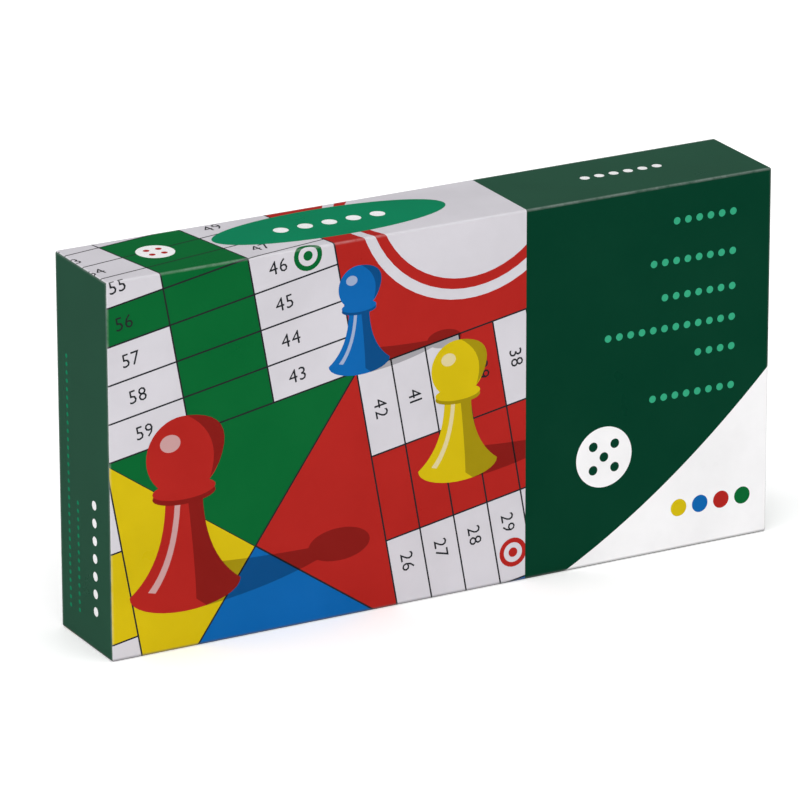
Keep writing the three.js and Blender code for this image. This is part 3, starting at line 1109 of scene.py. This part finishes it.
def make_disc(name):
    low, high = box_mm("disc_" + name)
    middle, radius = (low + high) / 2, (high.z - low.z) / 2
    outlines = [
        (circle(middle.x, middle.z, r, LARGE_SIDES), high.y - h)
        for r, h in disc_profile(radius, high.y - low.y)
    ]
    grown = Rings()
    grown.faces += grown.wall(outlines)
    colour = name.split("_")[0]
    disc = make_object("moulded_disc_" + name, grown.points, grown.faces, [DISC_PLASTICS[colour]])
    weld(disc)
    finish_piece(disc, "disc_" + name, "disc_" + name)


# Dice: how far each is turned about X, and each face about X and then Y, in degrees

DICE = {"left": 0, "right": 90}
FACE_TURNS = {1: (0, 0), 5: (90, 0), 6: (180, 0), 2: (-90, 0), 3: (0, 90), 4: (0, -90)}
DIE_EDGE_STEPS = 5
PIP_SIDES, PIP_RINGS = 20, 12


def pip_centres(size):
    """Centres of the balls that sink a die's pips, before its turn. Opposite faces add up to seven."""
    height = size / 2 + PIP_BALL - PIP_DEPTH
    centres = []
    for value, places in PIPS.items():
        about_x, about_y = (radians(turn) for turn in FACE_TURNS[value])
        turn = Matrix.Rotation(about_y, 3, "Y") @ Matrix.Rotation(about_x, 3, "X")
        centres += [turn @ Vector((u * PIP_PITCH, v * PIP_PITCH, height)) for u, v in places]
    return centres


def make_die(side):
    low, high = box_mm("die_" + side)
    size, middle = high.z - low.z, (low + high) / 2
    centres = pip_centres(size)
    cube, balls = bmesh.new(), bmesh.new()
    bmesh.ops.create_cube(cube, size=size * MM)
    bmesh.ops.bevel(
        cube, geom=cube.edges[:], affect="EDGES",
        offset=DIE_EDGE * MM, segments=DIE_EDGE_STEPS, profile=0.5,
    )
    for centre in centres:
        place = Matrix.Translation(centre * MM)
        bmesh.ops.create_uvsphere(
            balls, u_segments=PIP_SIDES, v_segments=PIP_RINGS, radius=PIP_BALL * MM, matrix=place
        )

    die, cutter = from_bmesh("moulded_die_" + side, cube), from_bmesh("pip_cutter", balls)
    cut = die.modifiers.new("pips", "BOOLEAN")
    cut.operation, cut.object, cut.solver = "DIFFERENCE", cutter, "EXACT"
    evaluated = die.evaluated_get(bpy.context.evaluated_depsgraph_get())
    die.data = bpy.data.meshes.new_from_object(evaluated)
    die.modifiers.clear()
    bpy.data.objects.remove(cutter)

    die.data.materials.append(DIE_PLASTIC)
    die.data.materials.append(PIP_PAINT)
    for polygon in die.data.polygons:
        corners = [die.data.vertices[i].co / MM for i in polygon.vertices]
        reaches = (max((corner - centre).length for corner in corners) for centre in centres)
        polygon.material_index = int(min(reaches) < PIP_BALL + PIP_MARGIN)
    smooth(die.data)
    turn = Matrix.Rotation(radians(DICE[side]), 4, "X")
    die.data.transform(Matrix.Translation(middle * MM) @ turn)
    finish_piece(die, "die_" + side, "die_" + side)


# Rule leaflet

LEAFLET_PAGES = 4
LEAFLET_MARGIN = 12
LEAFLET_TITLE = (48, 4)
LEAFLET_COLUMNS = 2
LEAFLET_LINES = 11
LEAFLET_PARAGRAPH = 4
LEAFLET_LINE = 1.6
LEAFLET_LAST_LINE = 30
LEAFLET_LINE_PITCH = 6
TURN_STEPS = 8


def leaflet_section(half, top, step):
    """Outline of a sheet folded back and forth, as x and y, its pages a sheet's thickness apart."""
    wide, narrow = 1.5 * step, 0.5 * step

    def face(first, radii):
        """One face of the sheet, from the start of its first page to the end of its last."""
        points = [(-half, first)]
        for i in range(LEAFLET_PAGES - 1):
            way, radius = 1 - 2 * (i % 2), radii[i % 2]
            x, y = way * (half - wide), top - wide - 2 * step * i
            points += arc(x, y, radius, 90, 90 - 180 * way, TURN_STEPS)
        return points + [(-half, points[-1][1])]
    return face(top, (wide, narrow)) + face(top - step, (narrow, wide))[::-1]


def leaflet_bars(left, right, top):
    """Grey bars in place of a title and two columns of text. The last line of a paragraph is short."""
    bars = [(left, top, *LEAFLET_TITLE)]
    pitch = (right - left + LEAFLET_MARGIN) / LEAFLET_COLUMNS
    for column in range(LEAFLET_COLUMNS):
        for i in range(LEAFLET_LINES):
            last = (i + 1) % LEAFLET_PARAGRAPH == 0
            width = LEAFLET_LAST_LINE if last else pitch - LEAFLET_MARGIN
            z = top - LEAFLET_MARGIN - LEAFLET_LINE_PITCH * i
            bars.append((left + pitch * column, z, width, LEAFLET_LINE))
    return [("grey", rectangle(x, z - height, x + width, z)) for x, z, width, height in bars]


def make_leaflet():
    """A sheet folded back and forth, printed on the page that faces the inside of the box."""
    low, high = box_mm("rule_leaflet")
    step = (high.y - low.y) / (2 * LEAFLET_PAGES - 1)
    section = leaflet_section(high.x, high.y, step)
    page_end = section[1][0]
    bars = leaflet_bars(LEAFLET_MARGIN - page_end, high.x - LEAFLET_MARGIN, high.z - LEAFLET_MARGIN)
    outline = rectangle(-page_end, low.z, high.x, high.z)
    page, cut = Panel((0, high.y, 0), -X, Z, outline, "paper", bars).cut()
    count = len(section)
    points = [Vector((x, y, z)) for z in (low.z, high.z) for x, y in section]
    faces = [([a, b, b + count, a + count], "paper") for a, b in sides(list(range(count)))[1:]]
    faces += [(list(range(count)), "paper"), (list(range(count, 2 * count)), "paper")]
    faces += [([i + len(points) for i in corners], ink) for corners, ink in cut]
    points += [Vector((-u, high.y, v)) for u, v in page]
    leaflet = make_printed("folded_leaflet", points, faces, LEAFLET_INKS)
    weld(leaflet)
    finish_piece(leaflet, "lid", "rule_leaflet")


# CAD nodes that keep their shape

FRAME_EDGE = 0.2
STEEL_EDGE = 0.1
MAGNET_EDGE = 0.15
EASE_STEPS = 2


def dress(node, material, edge):
    """A CAD node's finish, with its sharp edges eased by a width in millimetres."""
    obj = frame["nodes"][node]
    obj.data.materials.clear()
    obj.data.materials.append(material)
    smooth(obj.data)
    obj.modifiers.new("joined_faces", "WELD").merge_threshold = MERGE * MM
    ease = obj.modifiers.new("eased_edges", "BEVEL")
    ease.width, ease.segments = edge * MM, EASE_STEPS
    ease.limit_method, ease.angle_limit = "ANGLE", radians(SHARP_ANGLE)
    ease.harden_normals = True


def dress_frame():
    for side in ("back", "front"):
        dress("board_frame_" + side, FRAME_PLASTIC, FRAME_EDGE)
        dress("steel_sheet_" + side, SHEET_STEEL, STEEL_EDGE)
    for side in ("left", "right"):
        dress("hinge_pin_" + side, PIN_STEEL, STEEL_EDGE)
    for name in DISCS:
        dress("magnet_" + name, FERRITE, MAGNET_EDGE)


# Floor, light and camera

# The camera's azimuth, elevation and roll in degrees, and in metres its range and its place:
# how far right, up and back it is from the middle of the lid, along its own axes
CAMERA_TURN = (-28.57, 19.76, -0.1)
CAMERA_PLACE = (-0.0068, -0.001725, 2.26425)
CAMERA_RANGE = (0.01, 100)
FOCAL_PIXELS, IMAGE_PIXELS = 6779.8, 800
SENSOR = 36

WHITE = (1, 1, 1, 1)
FLOOR_REACH = 40 / MM
FLOOR_FINISH = {
    "Base Color": (0.95, 0.95, 0.95, 1),
    "Roughness": 0.9,
    "Specular IOR Level": 0.1,
    "Emission Color": WHITE,
    "Emission Strength": 0.2,
}

# The room's strength, from a direction's smaller to its larger share of +Y
ROOM_SPAN, ROOM_STRENGTH = (-0.1, 0.6), (0.015, 0.07)

# Each soft light: where it is, its strength, how wide it looks in degrees, and whether gloss shows it
LIGHTS = {
    "key": ((-0.43, -0.72, 0.55), 0.87, 50, True),
    "fill": ((0.63, -0.7, 0.33), 0.79, 60, False),
    "side": ((-0.93, 0, 0.36), 1.05, 60, False),
    "overhead": ((0, -0.1, 1), 1.95, 80, False),
    "rear": ((0.3, 0.86, 0.42), 0.5, 60, False),
}


def make_camera():
    """The photograph's camera, found by fitting the box's corners."""
    data = bpy.data.cameras.new("camera")
    data.sensor_width = SENSOR
    data.lens = SENSOR * FOCAL_PIXELS / IMAGE_PIXELS
    data.clip_start, data.clip_end = CAMERA_RANGE
    camera = link_object("camera", data)
    azimuth, elevation, roll = CAMERA_TURN
    place = Matrix.Translation((LID_LOW + LID_HIGH) / 2 * MM)
    for degrees, axis in ((azimuth, "Z"), (90 - elevation, "X"), (roll, "Z")):
        place = place @ Matrix.Rotation(radians(degrees), 4, axis)
    camera.matrix_world = place @ Matrix.Translation(CAMERA_PLACE)
    bpy.context.scene.camera = camera


def make_floor():
    look = Look("floor")
    look.fill(look.shader, FLOOR_FINISH)
    corners = rectangle(-FLOOR_REACH, -FLOOR_REACH, FLOOR_REACH, FLOOR_REACH)
    floor = make_object("floor", [(x, y, 0) for x, y in corners], [(0, 1, 2, 3)], [look.material])
    floor.visible_glossy = False


def make_world():
    """A dim room whose far wall is brighter, which the glossy faces reflect."""
    world = bpy.data.worlds.new("studio")
    bpy.context.scene.world = world
    world.use_nodes = True
    room = Nodes(world.node_tree)
    axes = room.add("SeparateXYZ", {"Vector": room.add("TexCoord")["Generated"]})
    strength = room.spread(axes["Y"], ROOM_SPAN, to=ROOM_STRENGTH)
    room.fill(room.tree.nodes["Background"], {"Color": WHITE, "Strength": strength})


def make_lights():
    for name, (way, strength, width, glossy) in LIGHTS.items():
        data = bpy.data.lights.new(name, "SUN")
        data.energy, data.angle = strength, radians(width)
        light = link_object(name, data)
        light.rotation_euler = Vector(way).to_track_quat("Z", "Y").to_euler()
        light.visible_glossy = glossy


make_lid()
make_base()
for half in ("back", "front"):
    make_play_sheet(half)
make_tray()
for disc in DISCS:
    make_disc(disc)
for side in DICE:
    make_die(side)
make_leaflet()
dress_frame()

bpy.context.scene.view_settings.view_transform = "Standard"
make_floor()
make_world()
make_lights()
make_camera()
